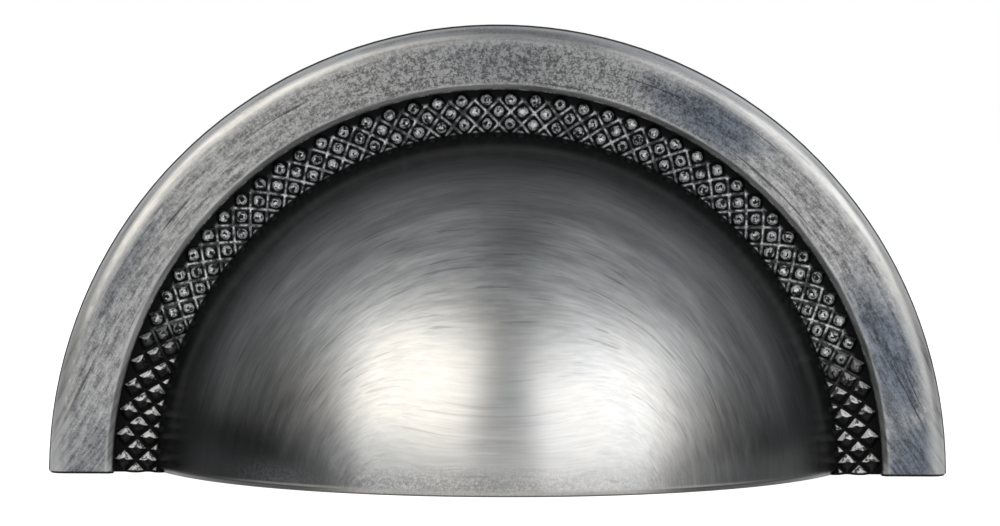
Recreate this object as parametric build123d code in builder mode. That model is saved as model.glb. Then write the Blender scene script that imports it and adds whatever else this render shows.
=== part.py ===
from build123d import *
import math
import os

# A half-round shell pull for a drawer, cast in one piece. A flat arched flange frames
# a sunken band of knurling, and the band frames a hollow cup for the fingers.
# The back lies in the plane Y = 0, against the drawer front, and the cup stands out
# towards -Y. +Z is up. The origin is midway between the two screw holes, on the back.

# Screw posts inside the cup, tapped from the back for M4 screws
screw_spacing = 64.0
screw_height = 8.0
post_radius = 4.0
post_draft = 3.0
tapping_radius = 1.65
thread_depth = 6.0
hole_countersink = 0.45
drill_point_angle = 118.0

# Cup. Its side stands clear of the screws that are inside it.
screw_to_cup_side = 5.765
projection = 27.0
cup_wall = 2.3
lip_outer_bevel = 0.5
lip_inner_bevel = 0.8

# Knurled band, sunk between the flange and the cup
band_width = 4.85
band_floor_thickness = 1.7
knurl_height = 0.8
knurl_count = 48
knurl_radial_pitch = 2.74
knurl_valley = 0.3
knurl_flank_angle = 30.0

# Flange
flange_width = 7.4
flange_thickness = 4.2
flange_outer_rounding = 1.8
flange_inner_chamfer = 0.7
flange_end_chamfer = 0.3

# The radii where the cup, the band and the flange meet, from the middle of the lower edge
cup_base_radius = math.hypot(screw_spacing / 2, screw_height) + screw_to_cup_side
band_outer_radius = cup_base_radius + band_width
flange_radius = band_outer_radius + flange_width
band_middle_radius = (cup_base_radius + band_outer_radius) / 2

# The cup is part of a ball whose centre lies behind the back, level with the lower edge
cup_rise = projection - band_floor_thickness
cup_radius = (cup_base_radius**2 + cup_rise**2) / (2 * cup_rise)
cup_centre_y = cup_radius - projection
cavity_radius = cup_radius - cup_wall

edge_z = -screw_height
lower_plane = Plane.XY.offset(edge_z)
back_plane = Plane(origin=(0, 0, 0), x_dir=(1, 0, 0), z_dir=(0, -1, 0))
band_plane = Plane(
    origin=(0, -band_floor_thickness, edge_z), x_dir=(1, 0, 0), z_dir=(0, -1, 0)
)
ball_plane = Plane(origin=(0, cup_centre_y, edge_z), x_dir=(1, 0, 0), z_dir=(0, -1, 0))
flange_axis = Axis((0, 0, edge_z), (0, -1, 0))
ball_axis = Axis((0, cup_centre_y, edge_z), (0, 0, 1))

# One knurl cell, before its valleys are taken off
pitch_angle = 180 / knurl_count
half_out = knurl_radial_pitch / 2


def row_radius(row):
    """The distance of a row of knurling from the flange's centre, with row 0 in the middle."""
    return band_middle_radius + row * half_out


def diamond(row):
    """The foot of a pyramid in a row, with half a valley taken off each side."""
    half_around = row_radius(row) * math.radians(pitch_angle) / 2
    cell_side = math.hypot(half_out, half_around)
    kept = 1 - knurl_valley / 2 * cell_side / (half_out * half_around)
    return Polygon(
        (half_out * kept, 0),
        (0, half_around * kept),
        (-half_out * kept, 0),
        (0, -half_around * kept),
    )


def row_locations(row):
    """The places of the pyramids in a row. Odd rows stand between those of even rows."""
    if row % 2:
        start, count = pitch_angle / 2, knurl_count
    else:
        start, count = 0, knurl_count + 1
    return PolarLocations(row_radius(row), count, start, 180 - 2 * start, endpoint=True)


# Knurling: staggered rows of flat-topped pyramids. The innermost row is half buried
# in the cup, which leaves the tips of its pyramids along the cup's side.
buried_row = math.ceil(band_width / knurl_radial_pitch)
pyramids = {}
for row in range(-buried_row, buried_row):
    with BuildPart() as pyramid:
        with BuildSketch() as pyramid_foot:
            diamond(row)
        extrude(amount=knurl_height, taper=knurl_flank_angle)
    pyramids[row] = pyramid.part

with BuildPart(band_plane) as knurling:
    for row, one_pyramid in pyramids.items():
        with row_locations(row):
            add(one_pyramid, clean=False)

# The hollow of the cup, flared at the lip, with the two screw posts left standing in it
with BuildPart() as hollow:
    with BuildSketch(ball_plane) as hollow_section:
        with BuildLine():
            flare_start = math.degrees(math.asin(lip_inner_bevel / cavity_radius))
            inside = CenterArc((0, 0), cavity_radius, flare_start, 90 - flare_start)
            Polyline(
                inside @ 1,
                (0, -lip_inner_bevel),
                (cavity_radius + 2 * lip_inner_bevel, -lip_inner_bevel),
                inside @ 0,
            )
        make_face()
    revolve(axis=ball_axis)
    with BuildSketch(back_plane.offset(-cup_wall)) as post_outlines:
        with GridLocations(screw_spacing, 1, 2, 1):
            Circle(post_radius)
    extrude(amount=projection + cup_wall, taper=-post_draft, mode=Mode.SUBTRACT)

# A screw hole: a countersunk mouth, a wall at the tapping size and a drill point
with BuildPart() as screw_hole:
    with BuildSketch() as hole_section:
        with BuildLine():
            wall_end = -hole_countersink - thread_depth
            point_depth = tapping_radius / math.tan(math.radians(drill_point_angle / 2))
            Polyline(
                (0, hole_countersink),
                (tapping_radius + 2 * hole_countersink, hole_countersink),
                (tapping_radius, -hole_countersink),
                (tapping_radius, wall_end),
                (0, wall_end - point_depth),
                close=True,
            )
        make_face()
    revolve(axis=Axis.Y)

# The cup as a solid cap of the ball, bevelled along the outside of the lip
with BuildPart() as cup:
    with BuildSketch(ball_plane) as cup_section:
        with BuildLine():
            CenterArc((0, 0), cup_radius, 0, 90)
            Polyline((0, cup_radius), (0, 0), (cup_radius, 0))
        make_face()
        chamfer(cup_section.vertices().sort_by(Axis.X)[-1], length=lip_outer_bevel)
    revolve(axis=ball_axis)
    split(bisect_by=back_plane, keep=Keep.TOP)

with BuildPart() as shell_pull:
    # The flange and the floor of the band, turned through half a circle
    with BuildSketch(lower_plane) as flange_section:
        with BuildLine():
            Polyline(
                (cup_base_radius - cup_wall, 0),
                (cup_base_radius - cup_wall, -band_floor_thickness),
                (band_outer_radius, -band_floor_thickness),
                (band_outer_radius, -flange_thickness),
                (flange_radius, -flange_thickness),
                (flange_radius, 0),
                close=True,
            )
        make_face()
        front_corners = flange_section.vertices().group_by(Axis.Y)[0].sort_by(Axis.X)
        fillet(front_corners[-1], radius=flange_outer_rounding)
        front_corners = flange_section.vertices().group_by(Axis.Y)[0].sort_by(Axis.X)
        chamfer(front_corners[0], length=flange_inner_chamfer)
    revolve(axis=flange_axis, revolution_arc=180)

    add(cup.part)
    add(hollow.part, mode=Mode.SUBTRACT)

    # The lower ends of the flange's front
    end_edges = shell_pull.edges().group_by(Axis.Z)[0].filter_by(Axis.X)
    chamfer(end_edges.group_by(Axis.Y)[0], length=flange_end_chamfer)

    with GridLocations(screw_spacing, 1, 2, 1):
        add(screw_hole.part, mode=Mode.SUBTRACT)

    # The knurling runs past the lower edge, so it is cut off level with it
    add(knurling.part, clean=False)
    split(bisect_by=lower_plane, keep=Keep.TOP)

shell_pull.part.label = "shell_pull"

os.makedirs("parts", exist_ok=True)
export_step(shell_pull.part, "parts/shell_pull.step")
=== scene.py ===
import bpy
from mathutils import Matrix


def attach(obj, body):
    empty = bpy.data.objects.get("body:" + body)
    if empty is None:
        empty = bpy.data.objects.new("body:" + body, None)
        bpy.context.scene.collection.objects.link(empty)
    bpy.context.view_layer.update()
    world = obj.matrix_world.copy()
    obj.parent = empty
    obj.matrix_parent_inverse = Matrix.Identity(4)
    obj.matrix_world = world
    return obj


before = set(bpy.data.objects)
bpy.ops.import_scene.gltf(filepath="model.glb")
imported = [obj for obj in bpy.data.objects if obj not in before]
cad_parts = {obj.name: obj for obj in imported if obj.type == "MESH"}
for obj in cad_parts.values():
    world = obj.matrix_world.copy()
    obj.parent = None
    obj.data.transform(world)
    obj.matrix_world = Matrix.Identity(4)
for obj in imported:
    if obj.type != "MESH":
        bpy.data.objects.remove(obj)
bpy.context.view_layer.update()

import math

import bpy
import numpy as np
from mathutils import Matrix, Vector, noise as smooth_noise

MM = 0.001

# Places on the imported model, in mm. Radii are from the middle of the lower edge.
EDGE_Z = -8.0
PROJECTION = 27.0
BAND_FLOOR = 1.7
CUP_BASE_RADIUS = 38.75
BAND_OUTER_RADIUS = CUP_BASE_RADIUS + 4.85
FLANGE_RADIUS = BAND_OUTER_RADIUS + 7.4
CUP_RISE = PROJECTION - BAND_FLOOR
BALL_RADIUS = (CUP_BASE_RADIUS**2 + CUP_RISE**2) / (2 * CUP_RISE)
BALL_CENTRE_Y = BALL_RADIUS - PROJECTION

# Knurling, in mm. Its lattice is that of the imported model, and its tips are rounded.
KNURL_COUNT = 48
KNURL_HALF_ANGLE = math.pi / KNURL_COUNT / 2
KNURL_HALF_OUT = 1.37
KNURL_CELL_WIDTH = 1.92
BAND_MIDDLE = 41.16
OUTERMOST_ROW = 1
VALLEY_HALF_WIDTH = 0.09
FLANK_SLOPE = 1.75
TIP_HEIGHT, TIP_RADIUS = 1.03, 0.7
TIP_BLEND, VALLEY_BLEND = 0.12, 0.06

# The fine skin over the band, in mm, with how far and how closely it is uneven
SKIN_FROM, SKIN_TO = 37.9, 43.75
SKIN_FLOOR, SKIN_BACK = 1.74, 1.5
SKIN_COLUMNS, SKIN_ROWS = KNURL_COUNT * 28, 58
SKIN_END_ANGLE = math.radians(0.02)
SKIN_SHARP_ANGLE = math.radians(70)
UNEVEN_DEPTH, UNEVEN_SCALE, UNEVEN_LAYER = 0.075, 1.9, 3.0

# Softening of the casting's edges, and the relief of its finish
EDGE_ROUNDING = 0.4 * MM
RELIEF_DEPTH = 0.06 * MM
RELIEF_STRENGTH = 0.35

# Blue-grey darker patches on the flange: angle in degrees from the right end, then radius, length,
# width in mm and depth
BLUE_GREY_PATCHES = (
    (2, 47.5, 7, 4, 0.85),
    (17, 46.5, 11, 3.6, 0.85),
    (60, 47, 9, 3.2, 0.85),
    (90, 47, 7, 3, 0.25),
    (151, 48.5, 8, 1.8, 0.35),
    (177, 46, 4, 5, 0.3),
)

# Light from the studio itself. A patch is a direction, the cosines where it is full and
# where it ends, and a strength.
AMBIENT_LIGHT, FRONT_LIGHT, ABOVE_LIGHT, BEHIND_LIGHT = 0.06, 0.28, 0.16, 0.8
SKY_COLOUR = (0.92, 0.96, 1.0, 1)
SKY_PATCHES = (
    ((-0.53, -0.259, 0.81), 0.97, 0.78, 0.4),
    ((0.62, -0.259, 0.74), 0.97, 0.78, 0.5),
)

# Soft boxes: azimuth from the front and elevation in degrees, width and height in metres,
# power in watts, and colour
BOX_DISTANCE = 0.9
BOX_AIM = Vector((0, -15, 8)) * MM
SOFT_BOXES = {
    "left box": (-30, 27, 0.68, 0.58, 2.35, (1.0, 0.955, 0.87)),
    "right box": (36, 17, 0.76, 0.68, 2.75, (1.0, 0.985, 0.96)),
}

# Floor and backdrop, in metres
FLOOR_HALF_SIZE = 4.0
BACKDROP_Y, BACKDROP_TOP = 1.5, 2.5
PALE, FLOOR_GLOW = 0.8, 0.82

# Camera, fitted to the outline in the photograph
IMAGE_WIDTH = 1000
SENSOR_WIDTH = 36.0
FOCAL_PIXELS = 4036.0
CAMERA_DISTANCE = 450 * MM
CAMERA_ELEVATION = math.radians(3.08)
CAMERA_ROLL = math.radians(-0.21)
CAMERA_AIM = Vector((0.2, -10.0, 16.4)) * MM


def grey(level, tint=0.0):
    """A grey that is warm where tint is positive and blue where it is negative."""
    return (level * (1 + tint), level * (1 + 0.3 * tint), level * (1 - tint), 1)


# The black that is left in the recesses as patina, also used for painted shade and painted shadow
PATINA_AND_SHADE = grey(0.006, -0.08)


class Nodes:
    """The nodes of one material or world, which starts with none."""

    def __init__(self, owner):
        owner.use_nodes = True
        self.tree = owner.node_tree
        self.tree.nodes.clear()

    def put(self, value, socket):
        """Gives a socket a value, or links it to another socket."""
        if isinstance(value, bpy.types.NodeSocket):
            self.tree.links.new(value, socket)
        else:
            socket.default_value = value

    def node(self, kind, inputs=None, **settings):
        """Adds a node. inputs holds values or sockets, by the input's name or number."""
        made = self.tree.nodes.new("ShaderNode" + kind)
        for name, value in settings.items():
            setattr(made, name, value)
        for key, value in (inputs or {}).items():
            self.put(value, made.inputs[key])
        return made

    def maths(self, operation, *values, clamp=False):
        made = self.node("Math", dict(enumerate(values)), operation=operation)
        made.use_clamp = clamp
        return made.outputs[0]

    def add(self, first, *others, clamp=False):
        for other in others:
            first = self.maths("ADD", first, other, clamp=clamp)
        return first

    def mul(self, first, *others):
        for other in others:
            first = self.maths("MULTIPLY", first, other)
        return first

    def most(self, first, *others):
        for other in others:
            first = self.maths("MAXIMUM", first, other)
        return first

    def weigh(self, *parts):
        """The sum of pairs of a value and its weight."""
        return self.add(*(self.mul(value, weight) for value, weight in parts))

    def rest(self, value):
        """What is left of one."""
        return self.maths("SUBTRACT", 1.0, value, clamp=True)

    def length(self, x, z):
        return self.maths("SQRT", self.add(self.mul(x, x), self.mul(z, z)))

    def angle(self, x, z):
        return self.maths("ARCTAN2", z, x)

    def vector(self, x, y, z):
        return self.node("CombineXYZ", {0: x, 1: y, 2: z}).outputs[0]

    def step(self, value, low, high, to_low=0.0, to_high=1.0):
        """A smooth step of value from low to high."""
        limits = {"Value": value, 1: low, 2: high, 3: to_low, 4: to_high}
        return self.node("MapRange", limits, interpolation_type="SMOOTHSTEP").outputs["Result"]

    def noise(self, vector, scale, detail=3.0, roughness=0.5):
        inputs = {"Vector": vector, "Scale": scale, "Detail": detail, "Roughness": roughness}
        return self.node("TexNoise", inputs).outputs["Fac"]

    def mix(self, factor, first, second, blend="MIX"):
        """Mixes two colours."""
        made = self.node("Mix", data_type="RGBA", blend_type=blend)
        for key, value in (("Factor", factor), ("A", first), ("B", second)):
            self.put(value, next(s for s in made.inputs if s.name == key and s.enabled))
        return next(s for s in made.outputs if s.enabled)

    def seen(self):
        """One for a camera, reflection or transmission ray, and nought for the others."""
        path = self.node("LightPath").outputs
        return self.most(path["Is Camera Ray"], path["Is Glossy Ray"], path["Is Transmission Ray"])

    def end(self, kind, shader):
        made = self.node("Output" + kind)
        self.tree.links.new(shader, made.inputs[0])


# The knurled band's fine skin

def smooth_least(one, other, blend):
    """The lesser of two arrays, rounded where they cross."""
    near = np.maximum(blend - np.abs(one - other), 0) / blend
    return np.minimum(one, other) - near**2 * blend / 4


def knurl_height(radius, angle):
    """The height of the knurling over the band's floor, in mm, at polar places on the band."""
    out = (radius - BAND_MIDDLE) / KNURL_HALF_OUT
    around = angle / KNURL_HALF_ANGLE
    first, second = (out + around) / 2, (out - around) / 2
    cell_first, cell_second = np.round(first), np.round(second)
    first, second = first - cell_first, second - cell_second
    half_around = radius * KNURL_HALF_ANGLE
    width = 2 * KNURL_HALF_OUT * half_around / np.hypot(KNURL_HALF_OUT, half_around)
    aside = np.maximum(np.abs(first), np.abs(second)) * width
    flank = (width / 2 - VALLEY_HALF_WIDTH - aside) * FLANK_SLOPE
    tip = TIP_HEIGHT - (first**2 + second**2) * width**2 / (2 * TIP_RADIUS)
    height = smooth_least(flank, tip, TIP_BLEND)
    height = -smooth_least(-height, np.zeros_like(height), VALLEY_BLEND)
    return np.where(cell_first + cell_second > OUTERMOST_ROW, 0.0, height)


def band_front():
    """The places on the band's face, in mm, by column, row and axis."""
    angle, radius = np.meshgrid(
        np.linspace(SKIN_END_ANGLE, math.pi - SKIN_END_ANGLE, SKIN_COLUMNS + 1),
        np.linspace(SKIN_FROM, SKIN_TO, SKIN_ROWS + 1),
        indexing="ij",
    )
    height = knurl_height(radius, angle)
    x, z = radius * np.cos(angle), radius * np.sin(angle)
    spots = (Vector((a, b, UNEVEN_LAYER)) * UNEVEN_SCALE for a, b in zip(x.flat, z.flat))
    uneven = np.array([smooth_noise.noise(spot) for spot in spots]).reshape(x.shape)
    # The valleys are a fifth as uneven as the tips
    uneven = UNEVEN_DEPTH * uneven * np.clip(height * 4, 0.2, 1)
    return np.stack((x, -(SKIN_FLOOR + height + uneven), z), -1)


def band_faces():
    """The faces of the closed skin: front, two long sides, back and two ends."""
    columns, rows = SKIN_COLUMNS, SKIN_ROWS
    here = np.arange(columns)[:, None] * (rows + 1) + np.arange(rows)[None, :]
    faces = np.stack((here, here + rows + 1, here + rows + 2, here + 1), -1).reshape(-1, 4).tolist()
    inner = (columns + 1) * (rows + 1)
    outer = inner + columns + 1
    for column in range(columns):
        at, after = column * (rows + 1), (column + 1) * (rows + 1)
        faces.append((at, inner + column, inner + column + 1, after))
        faces.append((at + rows, after + rows, outer + column + 1, outer + column))
        faces.append((inner + column, outer + column, outer + column + 1, inner + column + 1))
    last = columns * (rows + 1)
    faces.append(tuple(range(rows + 1)) + (outer, inner))
    faces.append((inner + columns, outer + columns) + tuple(range(last + rows, last - 1, -1)))
    return faces


def knurled_band(material):
    """The face of the band: a fine closed skin whose back lies inside the casting."""
    front = band_front()
    backs = front[:, (0, -1)].copy()
    backs[..., 1] = -SKIN_BACK
    places = np.concatenate((front.reshape(-1, 3), backs[:, 0], backs[:, 1]))
    places = places * MM + (0, 0, EDGE_Z * MM)
    mesh = bpy.data.meshes.new("knurled_band")
    mesh.from_pydata(places.tolist(), [], band_faces())
    mesh.materials.append(material)
    mesh.shade_smooth()
    mesh.set_sharp_from_angle(angle=SKIN_SHARP_ANGLE)
    made = bpy.data.objects.new("knurled_band", mesh)
    bpy.context.scene.collection.objects.link(made)
    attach(made, "root")


# The metal. Its sizes are in mm, and scales of noise are for each mm.

class Casting:
    """Where a point lies on the casting, as sockets: all the finishes are made from these."""

    def __init__(self, nodes):
        metres = nodes.node("TexCoord").outputs["Object"]
        scaled = nodes.node("VectorMath", {0: metres, "Scale": 1 / MM}, operation="SCALE")
        self.place = scaled.outputs[0]
        split = nodes.node("SeparateXYZ", {0: self.place})
        self.x, self.y = split.outputs[0], split.outputs[1]
        self.z = nodes.add(split.outputs[2], -EDGE_Z)
        self.forward = nodes.mul(self.y, -1.0)
        self.aside = nodes.maths("ABSOLUTE", self.x)
        self.radius = nodes.length(self.x, self.z)
        # From 0 in the arch's middle to 1 at its two ends
        self.lowness = nodes.maths("DIVIDE", self.aside, self.radius)
        normal = nodes.node("NewGeometry").outputs["Normal"]
        self.up = nodes.node("SeparateXYZ", {0: normal}).outputs[2]
        self.on_flange = nodes.step(self.radius, BAND_OUTER_RADIUS - 0.2, BAND_OUTER_RADIUS)
        # Painted shade in the crease where the cup meets the band
        self.crease_shade = nodes.mul(
            nodes.step(self.radius, CUP_BASE_RADIUS - 2.4, CUP_BASE_RADIUS - 0.9),
            nodes.step(self.radius, CUP_BASE_RADIUS + 0.2, CUP_BASE_RADIUS),
        )
        from_ball = nodes.length(self.radius, nodes.add(self.y, -BALL_CENTRE_Y))
        hollow = nodes.mul(
            nodes.step(from_ball, BALL_RADIUS - 0.6, BALL_RADIUS - 1.2),
            nodes.step(self.radius, CUP_BASE_RADIUS - 0.8, CUP_BASE_RADIUS - 1.1),
        )
        self.back = nodes.step(self.forward, 0.35, 0.1)
        self.unseen = nodes.most(hollow, self.back)


class Brushing:
    """The marks of brushing and wear: lines round the middle of the lower edge, and level
    ones in the cup's middle."""

    def __init__(self, nodes, at):
        self.nodes = nodes
        # In the cup's middle the lines are flat ellipses, centred below the lip
        flatness = nodes.step(at.radius, 9, 27, 0.28, 1.0)
        x = nodes.mul(at.x, flatness)
        z = nodes.add(at.z, nodes.step(at.radius, 30, 6, 0.0, 7))
        self.along = nodes.angle(x, z)
        self.across = nodes.add(nodes.length(x, z), self.slant(at))
        self.depth = nodes.mul(at.y, 0.06)
        # Light spreads across the lines
        self.tangent = nodes.vector(nodes.mul(at.x, nodes.mul(flatness, flatness)), 0.0, z)

        self.fine = self.lines(4.4, 9.0, 0.0)
        self.streaks = self.lines(1.7, 4.5, 7.0, 4.0)
        self.broad = self.lines(0.42, 2.2, 13.0, 2.0)
        self.nicks = self.lines(2.9, 26.0, 19.0, 4.0, 0.7)
        self.scratches = nodes.step(self.lines(2.6, 3.2, 31.0, 2.0, 0.5), 0.36, 0.3)
        self.patches = nodes.noise(at.place, 0.085, 4.0, 0.6)
        self.lumps = nodes.noise(at.place, 1.5, 3.0, 0.6)
        self.grain = nodes.noise(at.place, 3.0, 3.0, 0.7)
        self.pits = nodes.noise(at.place, 5.6, 2.0, 0.6)

    def slant(self, at):
        """How far the lines are moved across, so that they slant at the flange's ends."""
        nodes = self.nodes
        middle_radius, reach, most = 47, 9, 7
        from_end = nodes.mul(nodes.angle(at.aside, at.z), middle_radius)
        slant = nodes.rest(nodes.maths("EXPONENT", nodes.mul(from_end, -1 / reach)))
        return nodes.mul(slant, at.on_flange, most)

    def lines(self, fineness, breaks, layer, detail=3.0, roughness=0.6):
        """Noise drawn out along the brushing. breaks is how often a line ends in a radian."""
        nodes = self.nodes
        place = nodes.vector(
            nodes.mul(self.across, fineness),
            nodes.mul(self.along, breaks),
            nodes.add(self.depth, layer),
        )
        return nodes.noise(place, 1.0, detail, roughness)


def blue_grey_patches(nodes, at):
    """Blue-grey darker patches on the flange, each at an angle and a radius, with uneven edges."""
    wander = nodes.mul(nodes.add(nodes.noise(at.place, 0.26, 3.0, 0.6), -0.5), 1.1)
    angle = nodes.angle(at.x, at.z)
    found = 0.0
    for turned, radius, length, width, depth in BLUE_GREY_PATCHES:
        along = nodes.mul(nodes.add(angle, -math.radians(turned)), radius / length)
        across = nodes.mul(nodes.add(at.radius, -radius), 1 / width)
        away = nodes.add(nodes.length(along, across), wander)
        found = nodes.most(nodes.step(away, 1.25, 0.35, 0.0, depth), found)
    return found


def cup_metal(nodes, at, brush):
    """The cup is brushed bright, and darkens towards its foot, partly as patina and partly as painted
    shade.
    """
    tone = nodes.weigh((brush.fine, 0.5), (brush.streaks, 0.35), (brush.broad, 0.15))
    # The brushing is finer and calmer in the cup's middle
    calm = nodes.step(at.radius, 27, 12, 0.0, 0.55)
    lively = nodes.rest(calm)
    tone = nodes.add(nodes.mul(tone, lively), nodes.mul(calm, 0.5))
    metal = nodes.mix(nodes.step(tone, 0.36, 0.64), grey(0.46, 0.01), grey(0.65, 0.02))
    cool = nodes.step(brush.patches, 0.42, 0.68, 0.0, 0.6)
    metal = nodes.mix(cool, metal, (0.92, 0.96, 1.0, 1), "MULTIPLY")
    metal = nodes.mix(nodes.mul(brush.scratches, lively, 0.35), metal, grey(0.06))
    metal = cup_foot_patina_and_shade(nodes, at, brush, metal)
    metal = cup_lip(nodes, at, brush, metal)
    # The crease at the cup's base gets painted shade, near black
    return nodes.mix(at.crease_shade, metal, grey(0.008, -0.04))


def cup_foot_patina_and_shade(nodes, at, brush, metal):
    """The cup's foot is darkened, partly as patina and partly as painted shade in place of the dark it
    would reflect. The dark runs further in low down, and most on the left.
    """
    low = nodes.mul(nodes.step(at.z, 8.5, 0.0), nodes.step(at.aside, 9, 22))
    low = nodes.mul(low, nodes.step(at.x, 15, -15, 8, 17))
    uneven = nodes.mul(nodes.add(brush.broad, -0.5), 9)
    foot = nodes.step(nodes.add(at.radius, low, uneven), 17, 36, 0.0, 0.89)
    metal = nodes.mix(foot, metal, grey(0.045, -0.04))
    # Painted shade on the lower corners, in place of the floor's reflection
    corner_shade = nodes.mul(nodes.step(at.aside, 17, 30), nodes.step(at.z, 12, 2))
    corner_shade = nodes.mul(corner_shade, nodes.step(at.x, 15, -15, 0.35, 0.92))
    return nodes.mix(corner_shade, metal, grey(0.02, -0.04))


def cup_lip(nodes, at, brush, metal):
    """Over the lip the cup is grainy and darker towards the lower edge, with a smooth pale strip below;
    its lowest edge, and a band just above it at the sides, are painted near black as shade.
    """
    grains = nodes.weigh((brush.grain, 0.6), (brush.pits, 0.4))
    grainy = nodes.mul(nodes.step(grains, 0.62, 0.4), nodes.step(at.z, 4.2, 0.8))
    grainy = nodes.mul(grainy, nodes.step(at.x, 12, -4, 0.3, 0.6), nodes.step(at.radius, 32, 22))
    metal = nodes.mix(grainy, metal, grey(0.16, -0.02))
    strip = nodes.mul(nodes.step(at.z, 0.9, 0.7), nodes.step(at.radius, 34, 20, 0.0, 0.5))
    metal = nodes.mix(strip, metal, grey(0.42, 0.05))
    # Darker towards the lower edge
    darker_low_down = nodes.step(at.z, 9, 0.0, 0.0, 0.5)
    metal = nodes.mix(darker_low_down, metal, grey(0.45), "MULTIPLY")
    # Painted shade: the lowest edge, and a band just above it at the sides
    bevel = nodes.mul(nodes.step(at.z, 0.62, 0.52), nodes.step(at.aside, 13, 23, 0.0, 0.9))
    lip = nodes.most(nodes.step(at.z, 0.24, 0.1, 0.0, 0.8), bevel)
    return nodes.mix(lip, metal, grey(0.03))


def flange_metal(nodes, at, brush):
    """The flange is darker, nicked along the arch, pitted in its middle, and has blue-grey darker
    patches.
    """
    tone = nodes.weigh((brush.nicks, 0.5), (brush.streaks, 0.3), (brush.broad, 0.2))
    tone = nodes.step(tone, 0.38, 0.62)
    pitted = nodes.step(at.lowness, 0.75, 0.2, 0.3, 0.8)
    speckle = nodes.weigh((brush.pits, 0.4), (brush.grain, 0.3), (brush.lumps, 0.3))
    speckle = nodes.step(speckle, 0.42, 0.58)
    tone = nodes.add(nodes.mul(tone, nodes.rest(pitted)), nodes.mul(speckle, pitted))
    metal = nodes.mix(tone, grey(0.08), nodes.mix(pitted, grey(0.42), grey(0.33)))
    metal = nodes.mix(nodes.mul(brush.scratches, 0.7), metal, grey(0.04))
    return nodes.mix(blue_grey_patches(nodes, at), metal, (0.3, 0.36, 0.46, 1), "MULTIPLY")


def rub_edges(nodes, at, brush, metal):
    """The flange's edges are rubbed bright, the outer one most; the inner edge's lighter strip is
    partly a painted highlight. Also gives how dull they are.
    """
    rim = nodes.step(at.radius, FLANGE_RADIUS - 2.8, FLANGE_RADIUS - 0.9)
    rim = nodes.mul(rim, nodes.step(brush.streaks, 0.3, 0.6, 0.5, 0.95))
    shoulders = nodes.mul(nodes.step(at.lowness, 0.15, 0.6), nodes.step(at.lowness, 0.985, 0.86))
    metal = nodes.mix(rim, metal, nodes.mix(shoulders, grey(0.42), grey(0.56, 0.01)))

    inner = nodes.step(at.radius, BAND_OUTER_RADIUS + 1.1, BAND_OUTER_RADIUS + 0.6)
    inner = nodes.mul(inner, at.on_flange, nodes.step(at.forward, 3.2, 3.6))
    # It is rubbed and painted lighter, as a highlight, most low down, and more on the left than on the
    # right
    inner = nodes.mul(inner, nodes.step(at.lowness, 0.3, 0.95, 0.8, 1.0))
    inner = nodes.mul(inner, nodes.step(at.x, 0.0, 30, 1.0, 0.5))
    worn_and_lit = nodes.mix(nodes.step(brush.streaks, 0.35, 0.6), grey(0.24), grey(0.48))
    metal = nodes.mix(nodes.mul(inner, 0.85), metal, worn_and_lit)

    dull_rim = nodes.mul(rim, nodes.step(at.lowness, 0.8, 0.94, 0.0, 0.65))
    return metal, nodes.most(nodes.mul(inner, 0.5), dull_rim)


def cast_metal(nodes, at, brush):
    """The hollow is left as cast, with a fine grain, and the back is ground flat."""
    grain = nodes.weigh((brush.grain, 0.55), (brush.patches, 0.2), (brush.pits, 0.25))
    rough = nodes.mix(nodes.step(grain, 0.38, 0.6), grey(0.13), grey(0.27))
    rough = nodes.mix(nodes.step(at.radius, 24, 36, 0.0, 0.55), rough, grey(0.05))
    along_x = nodes.vector(nodes.mul(at.x, 0.15), 0.0, nodes.mul(at.z, 3.6))
    lines = nodes.noise(along_x, 1.0, 4.0, 0.65)
    ground = nodes.mix(nodes.step(lines, 0.36, 0.64), grey(0.2), grey(0.4))
    ground = nodes.mix(nodes.step(brush.patches, 0.6, 0.35, 0.0, 0.35), ground, grey(0.12))
    return nodes.mix(at.back, rough, ground)


def painted_shade_sides(nodes, at):
    """Painted shade and shadow, in black: on the flange's outer side, on the band's outer wall under
    the flange, and along the lower edge from the cup's base outwards.
    """
    # Painted shade on the flange's outer side, as the dark edge it shows
    outside = nodes.step(at.radius, FLANGE_RADIUS - 0.3, FLANGE_RADIUS - 0.12)
    outside = nodes.mul(outside, nodes.step(at.forward, 1.6, 2.8, 0.8, 1.0))
    # Painted shadow that the flange casts on the band's outer wall
    wall = nodes.step(at.radius, BAND_OUTER_RADIUS + 0.12, BAND_OUTER_RADIUS + 0.04)
    wall = nodes.mul(at.on_flange, wall)
    # Painted shade along the lower edge
    below = nodes.step(at.z, 0.34, 0.18)
    below = nodes.mul(below, nodes.step(at.radius, CUP_BASE_RADIUS - 1, CUP_BASE_RADIUS))
    return nodes.most(outside, wall, below)


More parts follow.
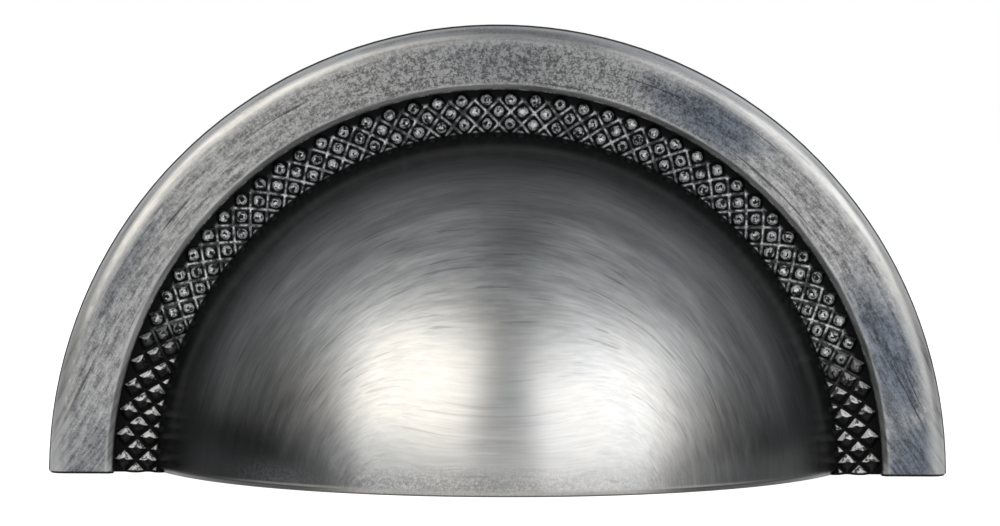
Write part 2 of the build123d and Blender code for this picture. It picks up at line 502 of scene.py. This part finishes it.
class Knurling:
    """The finish of the band: tips rubbed bright, flanks left black with patina, and valley floors and
    up-facing facets painted light; facets that face down at the ends are painted black as shade.
    """

    def __init__(self, nodes, at, brush):
        self.nodes, self.at = nodes, at
        self.rise = nodes.add(at.forward, -BAND_FLOOR)
        self.specks = nodes.step(nodes.noise(at.place, 1.7, 2.0, 0.6), 0.36, 0.5)
        self.ragged = nodes.add(nodes.noise(at.place, 1.1, 2.0, 0.5), -0.5)
        # The rubbed ends, whose up-facing facets are painted lit, reach further up on the left
        lowness = nodes.add(at.lowness, nodes.step(at.x, -10, 10, 0.015, -0.015))
        self.ends = nodes.step(lowness, 0.9, 0.975)
        self.shoulders = nodes.step(lowness, 0.55, 0.9)

        in_band = nodes.mul(
            nodes.step(at.radius, CUP_BASE_RADIUS - 0.9, CUP_BASE_RADIUS + 0.2),
            nodes.step(at.radius, BAND_OUTER_RADIUS + 0.3, BAND_OUTER_RADIUS - 0.1),
        )
        tips, worn_and_lit = self.tips(), self.lit_worn_facets()
        over_cup = nodes.step(at.radius, CUP_BASE_RADIUS - 0.05, CUP_BASE_RADIUS + 0.25)
        # The rest of the band is black: patina on the flanks, and painted shade on the facets that face
        # down at the ends
        black = nodes.rest(nodes.mul(nodes.most(tips, self.lit_valleys(), worn_and_lit), over_cup))
        self.colour = nodes.mix(black, self.bare(brush), PATINA_AND_SHADE)
        self.in_band = in_band
        self.recess_and_shade = nodes.mul(in_band, black)
        self.dull = nodes.mul(nodes.most(worn_and_lit, nodes.mul(tips, 0.7)), in_band)

    def from_tip(self):
        """How far a point is from the middle of its knurl cell."""
        nodes, at = self.nodes, self.at
        out = nodes.mul(nodes.add(at.radius, -BAND_MIDDLE), 1 / KNURL_HALF_OUT)
        around = nodes.mul(nodes.angle(at.x, at.z), 1 / KNURL_HALF_ANGLE)
        offsets = []
        for side in (around, nodes.mul(around, -1.0)):
            cells = nodes.mul(nodes.add(out, side), 0.5)
            offsets.append(nodes.add(cells, nodes.mul(nodes.maths("ROUND", cells), -1.0)))
        return nodes.mul(nodes.length(*offsets), KNURL_CELL_WIDTH)

    def tips(self):
        """A round bead rubbed bright on each tip, with specks and a pinhole, and none at the ends."""
        nodes, ragged = self.nodes, self.ragged
        edge = nodes.add(self.from_tip(), nodes.mul(ragged, 0.4))
        bead = nodes.mul(nodes.step(edge, 0.67, 0.55), nodes.step(self.rise, 0.3, 0.4))
        pinhole = nodes.mul(nodes.step(self.rise, 1.0, 1.02), nodes.step(ragged, -0.02, 0.05, 0.0, 0.9))
        speckled = nodes.add(nodes.mul(self.specks, 0.8), 0.2)
        bead = nodes.mul(bead, speckled, nodes.rest(pinhole))
        return nodes.mul(bead, nodes.step(self.ends, 0.0, 1.0, 1.0, 0.12))

    def lit_valleys(self):
        """The net of valley floors between the tips, painted grey as the light they catch, which stops
        short of the flange.
        """
        nodes, ragged = self.nodes, self.ragged
        net = nodes.step(nodes.add(self.rise, nodes.mul(ragged, 0.35)), 0.28, 0.12)
        inside = nodes.step(self.at.radius, BAND_OUTER_RADIUS - 0.6, BAND_OUTER_RADIUS - 1.2)
        net = nodes.mul(net, inside)
        return nodes.mul(net, nodes.step(ragged, -0.12, 0.1, 0.3, 0.9), nodes.rest(self.ends))

    def lit_worn_facets(self):
        """The facets that face up are painted lit, as light from above falls on them, and rubbed, most
        of all at the arch's two ends.
        """
        nodes = self.nodes
        # Painted light: facets are picked by how far they face up
        worn_and_lit = nodes.mul(nodes.step(self.at.up, 0.3, 0.55), nodes.step(self.rise, 0.1, 0.25))
        worn_and_lit = nodes.mul(worn_and_lit, nodes.add(nodes.mul(self.specks, 0.6), 0.4))
        return nodes.mul(worn_and_lit, nodes.weigh((self.shoulders, 0.4), (self.ends, 0.6)))

    def bare(self, brush):
        """The bare metal, brighter at the arch's two ends where its facets are painted lit, and pocked
        between them.
        """
        nodes = self.nodes
        ends = nodes.most(self.ends, nodes.mul(self.shoulders, 0.4))
        bright = nodes.mix(ends, grey(0.68, -0.03), grey(1.0))
        pocked = nodes.mul(nodes.step(brush.pits, 0.6, 0.35, 0.0, 0.6), nodes.rest(self.ends))
        return nodes.mix(pocked, bright, grey(0.02))


def relief(nodes, at, brush, edge_rounding):
    """The relief of brushing and pits, on edges that are softened if edge_rounding is given."""
    pitted = nodes.mul(at.on_flange, nodes.step(at.lowness, 0.75, 0.3, 0.35, 0.9))
    pits = nodes.weigh((brush.pits, 0.6), (brush.lumps, 0.9), (brush.nicks, 0.4))
    height = nodes.weigh(
        (brush.fine, 0.35),
        (brush.streaks, 0.2),
        (brush.grain, 0.12),
        (pits, pitted),
        (brush.scratches, -0.15),
    )
    inputs = {"Strength": RELIEF_STRENGTH, "Distance": RELIEF_DEPTH, "Height": height}
    if edge_rounding:
        inputs["Normal"] = nodes.node("Bevel", {"Radius": edge_rounding}, samples=6).outputs[0]
    return nodes.node("Bump", inputs).outputs[0]


def antiqued_metal(name, edge_rounding=0.0):
    """Brushed metal, darkened with patina in the recesses and rubbed bright on the high places, with
    painted shade and painted light where noted.
    """
    material = bpy.data.materials.new(name)
    nodes = Nodes(material)
    at = Casting(nodes)
    brush = Brushing(nodes, at)
    knurl = Knurling(nodes, at, brush)

    metal = nodes.mix(at.on_flange, cup_metal(nodes, at, brush), flange_metal(nodes, at, brush))
    metal, dull_edge = rub_edges(nodes, at, brush, metal)
    metal = nodes.mix(knurl.in_band, metal, knurl.colour)
    in_view = nodes.rest(at.unseen)
    # Patina and painted shade, both black
    dark = nodes.mul(nodes.most(knurl.recess_and_shade, painted_shade_sides(nodes, at)), in_view)
    colour = nodes.mix(dark, metal, PATINA_AND_SHADE)
    colour = nodes.mix(at.unseen, colour, cast_metal(nodes, at, brush))

    # The patina, the painted shade and the knurling's rubbed and painted-lit facets mirror nothing
    dull = nodes.most(nodes.mul(knurl.dull, 0.95), dull_edge, nodes.mul(at.crease_shade, 0.9))
    dull = nodes.most(nodes.mul(dull, in_view), dark)
    coarse = nodes.mul(nodes.most(dark, at.unseen), 0.25)
    finish = {
        "Base Color": colour,
        "Metallic": nodes.rest(dull),
        "Roughness": nodes.add(nodes.mul(brush.streaks, 0.1), 0.25, coarse, clamp=True),
        "Normal": relief(nodes, at, brush, edge_rounding),
        "Specular IOR Level": 0.08,
        "Anisotropic": 0.7,
        "Tangent": brush.tangent,
    }
    nodes.end("Material", nodes.node("BsdfPrincipled", finish).outputs[0])
    return material


# The studio

def backdrop_material():
    """A pale surface that the camera, reflections and clear materials see as white."""
    material = bpy.data.materials.new("backdrop")
    nodes = Nodes(material)
    plain = nodes.node("BsdfDiffuse", {"Color": grey(PALE)}).outputs[0]
    glow = nodes.node("Emission", {"Color": grey(1.0), "Strength": 1.0}).outputs[0]
    nodes.end("Material", nodes.node("MixShader", {0: nodes.seen(), 1: plain, 2: glow}).outputs[0])
    return material


def floor_material():
    """A pale floor that is seen white and still takes the object's shadow."""
    material = bpy.data.materials.new("floor")
    nodes = Nodes(material)
    plain = nodes.node("BsdfDiffuse", {"Color": grey(PALE)}).outputs[0]
    strength = nodes.mul(nodes.seen(), FLOOR_GLOW)
    glow = nodes.node("Emission", {"Color": grey(1.0), "Strength": strength}).outputs[0]
    nodes.end("Material", nodes.node("AddShader", {0: plain, 1: glow}).outputs[0])
    return material


def stage_sheet(name, corners, material):
    """A flat sheet that isn't part of the object."""
    mesh = bpy.data.meshes.new(name)
    mesh.from_pydata(corners, [], [tuple(range(len(corners)))])
    mesh.materials.append(material)
    made = bpy.data.objects.new(name, mesh)
    bpy.context.scene.collection.objects.link(made)


def floor_and_backdrop():
    """The floor under the lower edge, and a backdrop that starts just below it."""
    side, level = FLOOR_HALF_SIZE, EDGE_Z * MM
    foot = level - 1 * MM
    floor = [(-side, -side, level), (side, -side, level), (side, side, level), (-side, side, level)]
    backdrop = [
        (-side, BACKDROP_Y, foot),
        (side, BACKDROP_Y, foot),
        (side, BACKDROP_Y, BACKDROP_TOP),
        (-side, BACKDROP_Y, BACKDROP_TOP),
    ]
    stage_sheet("floor", floor, floor_material())
    stage_sheet("backdrop", backdrop, backdrop_material())


def soft_box(name, azimuth, elevation, width, height, power, colour):
    """A soft box that stands in a direction from the object, turned about +Z from the front."""
    light = bpy.data.lights.new(name, "AREA")
    light.shape = "RECTANGLE"
    light.size, light.size_y = width, height
    light.energy = power
    light.color = colour
    made = bpy.data.objects.new(name, light)
    bpy.context.scene.collection.objects.link(made)
    turned, raised = math.radians(azimuth), math.radians(elevation)
    away = Vector((
        math.sin(turned) * math.cos(raised),
        -math.cos(turned) * math.cos(raised),
        math.sin(raised),
    ))
    made.location = BOX_AIM + away * BOX_DISTANCE
    made.rotation_euler = away.to_track_quat("Z", "Y").to_euler()


def studio_world():
    """Dim all round, and brighter in front, above and behind, as a plain studio is."""
    world = bpy.data.worlds.new("studio")
    bpy.context.scene.world = world
    nodes = Nodes(world)
    way = nodes.node("TexCoord").outputs["Generated"]
    parts = nodes.node("SeparateXYZ", {0: way}).outputs
    to_front, up = nodes.mul(parts[1], -1.0), parts[2]
    front = nodes.step(to_front, 0.4, 1.0, 0.0, FRONT_LIGHT)
    above = nodes.step(up, 0.1, 1.0, 0.0, ABOVE_LIGHT)
    behind = nodes.step(to_front, 0.05, -0.35, 0.0, BEHIND_LIGHT)
    behind = nodes.mul(behind, nodes.step(up, 0.0, 0.35))
    level = nodes.add(AMBIENT_LIGHT, front, above, behind)
    for direction, full, end, strength in SKY_PATCHES:
        dot = nodes.node("VectorMath", {0: way, 1: direction}, operation="DOT_PRODUCT")
        level = nodes.add(level, nodes.step(dot.outputs["Value"], end, full, 0.0, strength))
    sky = nodes.node("Background", {"Color": SKY_COLOUR, "Strength": level})
    nodes.end("World", sky.outputs[0])


def camera():
    """The photograph's camera."""
    data = bpy.data.cameras.new("camera")
    data.sensor_width = SENSOR_WIDTH
    data.lens = SENSOR_WIDTH * FOCAL_PIXELS / IMAGE_WIDTH
    data.clip_start, data.clip_end = 0.01, 50.0
    made = bpy.data.objects.new("camera", data)
    bpy.context.scene.collection.objects.link(made)
    forward = Vector((0, math.cos(CAMERA_ELEVATION), -math.sin(CAMERA_ELEVATION)))
    up = Vector((0, math.sin(CAMERA_ELEVATION), math.cos(CAMERA_ELEVATION)))
    right = Vector((1, 0, 0))
    cos, sin = math.cos(CAMERA_ROLL), math.sin(CAMERA_ROLL)
    turned = Matrix((right * cos - up * sin, up * cos + right * sin, -forward))
    turned = turned.transposed().to_4x4()
    made.matrix_world = Matrix.Translation(CAMERA_AIM - forward * CAMERA_DISTANCE) @ turned
    bpy.context.scene.camera = made


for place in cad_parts["shell_pull"].material_slots:
    place.material = antiqued_metal("antiqued_metal", EDGE_ROUNDING)
knurled_band(antiqued_metal("knurled_metal"))

floor_and_backdrop()
for name, box in SOFT_BOXES.items():
    soft_box(name, *box)
studio_world()
camera()
bpy.context.scene.view_settings.view_transform = "Standard"
